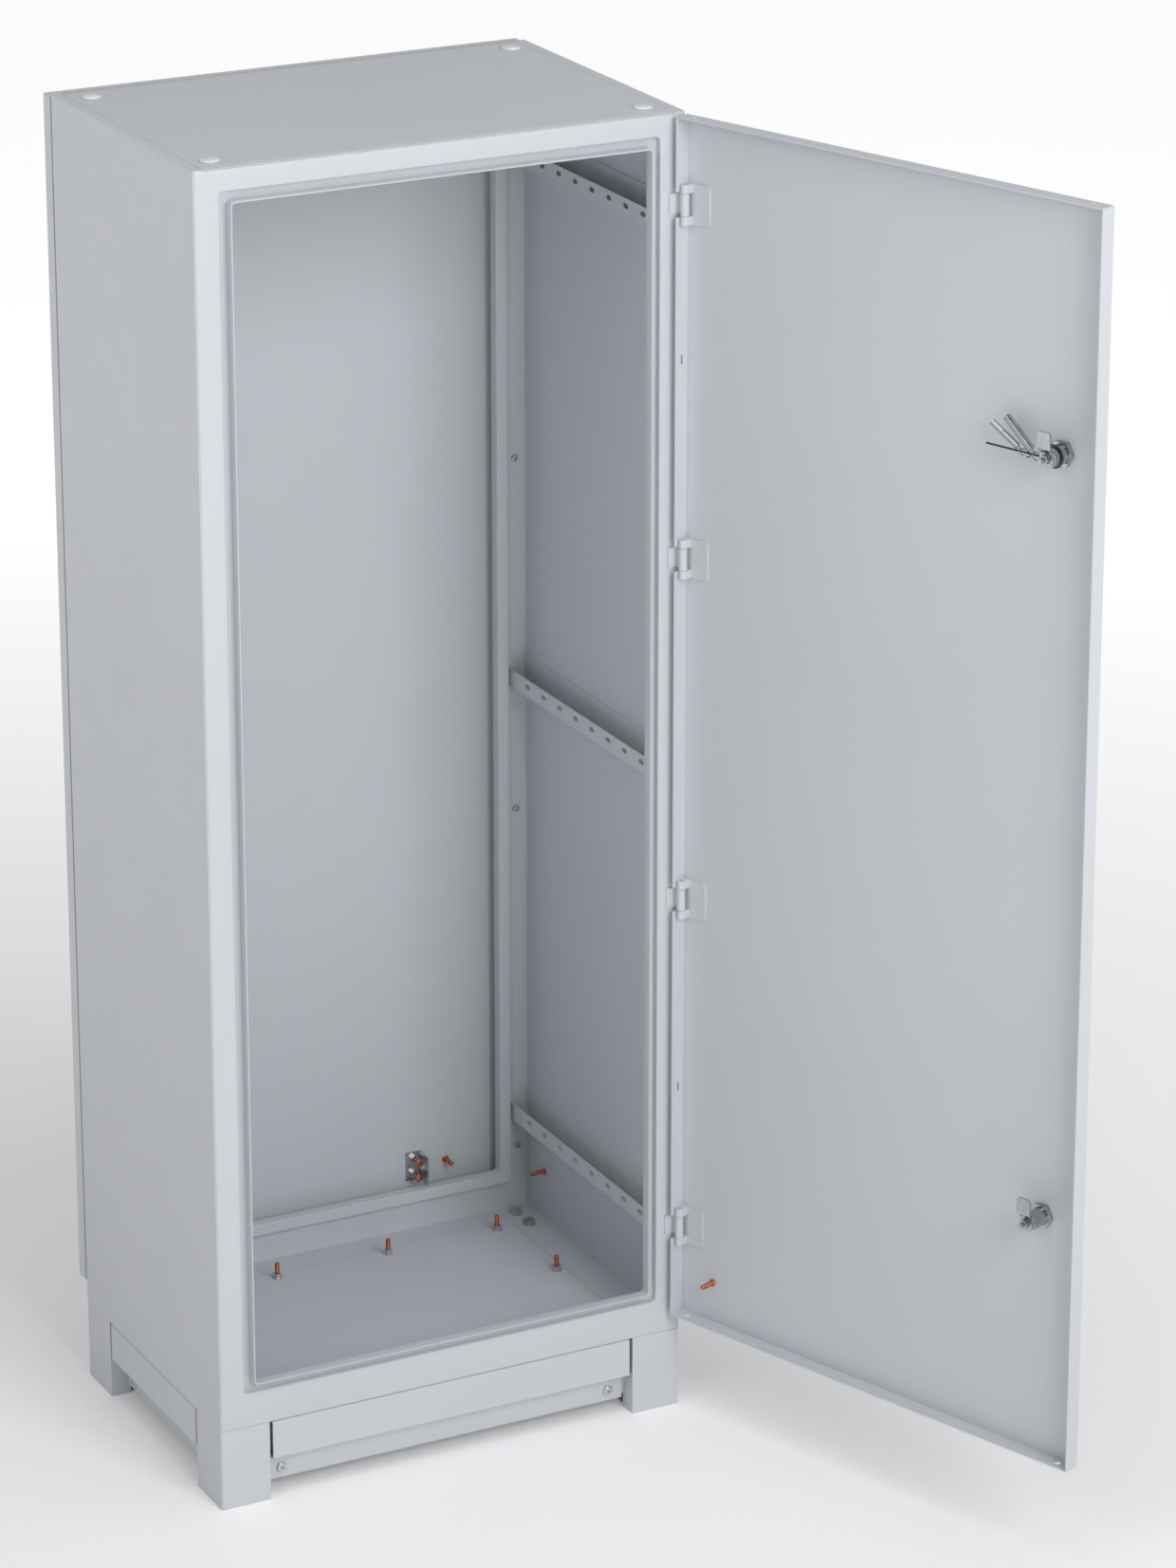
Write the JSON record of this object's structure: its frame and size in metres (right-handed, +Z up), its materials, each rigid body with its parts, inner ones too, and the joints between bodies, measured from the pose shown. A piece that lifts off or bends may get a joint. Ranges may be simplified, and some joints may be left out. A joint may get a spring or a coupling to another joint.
{
  "type": "switchboard cabinet",
  "caption": "Free-standing sheet-metal switchboard cabinet on a plinth, with an opening door on concealed hinges and quarter-turn locks.",
  "frame": {"origin": "on the floor, in the middle of the four floor anchor holes, under the centre of the cabinet body", "axes": "+X to the right seen from the front, the door opening faces -Y, +Z up"},
  "size_m": [0.8079, 0.9973, 1.603],
  "materials": {
    "powder_coat": "fine-textured light grey powder coat",
    "zinc": "bright zinc plate",
    "chrome": "polished plate",
    "copper": "copper-plated weld studs",
    "seal": "foamed seal",
    "tie": "black plastic",
    "plug": "glossy pale plastic"
  },
  "bodies": {
    "cabinet": {"body_to_plinth_bolts": "zinc", "earth_studs": "copper", "earth_tab": "zinc", "earth_tab_nuts": "zinc", "floor_frame": "powder_coat", "front_frame": "powder_coat", "front_left_leg": "powder_coat", "front_plinth_cover": "powder_coat", "front_right_leg": "powder_coat", "gland_plate": "powder_coat", "gland_plate_nuts": "zinc", "gland_plate_studs": "copper", "gland_seal": "seal", "hinge_leaf_1": "powder_coat", "hinge_leaf_2": "powder_coat", "hinge_leaf_3": "powder_coat", "hinge_leaf_4": "powder_coat", "hinge_pins": "zinc", "left_lower_rail": "powder_coat", "left_middle_rail": "powder_coat", "left_plinth_cover": "powder_coat", "left_side_panel": "powder_coat", "left_upper_rail": "powder_coat", "lifting_hole_plugs": "plug", "plinth_cover_screws": "zinc", "rear_cover": "powder_coat", "rear_cover_screws": "zinc", "rear_frame": "powder_coat", "rear_left_leg": "powder_coat", "rear_plinth_cover": "powder_coat", "rear_right_leg": "powder_coat", "right_lower_rail": "powder_coat", "right_middle_rail": "powder_coat", "right_plinth_cover": "powder_coat", "right_side_panel": "powder_coat", "right_upper_rail": "powder_coat", "top_panel": "powder_coat"},
    "door": {"door_panel": "powder_coat", "door_earth_stud": "copper", "hinge_bracket_1": "powder_coat", "hinge_bracket_2": "powder_coat", "hinge_bracket_3": "powder_coat", "hinge_bracket_4": "powder_coat", "lower_lock_barrel": "chrome", "lower_lock_ring_nut": "chrome", "upper_lock_barrel": "chrome", "upper_lock_ring_nut": "chrome", "key_tie": "tie", "lock_keys": "chrome"},
    "lower_cam": {"lower_lock_core": "chrome", "lower_lock_cam": "chrome", "lower_lock_cam_nut": "chrome"},
    "upper_cam": {"upper_lock_core": "chrome", "upper_lock_cam": "chrome", "upper_lock_cam_nut": "chrome"}
  },
  "joints": [
    {"name": "door_hinge", "type": "hinge", "parent": "cabinet", "child": "door", "pos_m": [0.294, -0.212, 0.85], "axis": [0, 0, 1], "range_deg": [-110, 10]},
    {"name": "lower_lock_turn", "type": "hinge", "parent": "door", "child": "lower_cam", "pos_m": [0.46605, -0.71978, 0.419], "axis": [0.9397, 0.342, 0], "range_deg": [0, 90]},
    {"name": "upper_lock_turn", "type": "hinge", "parent": "door", "child": "upper_cam", "pos_m": [0.46605, -0.71978, 1.313], "axis": [0.9397, 0.342, 0], "range_deg": [0, 90]}
  ]
}
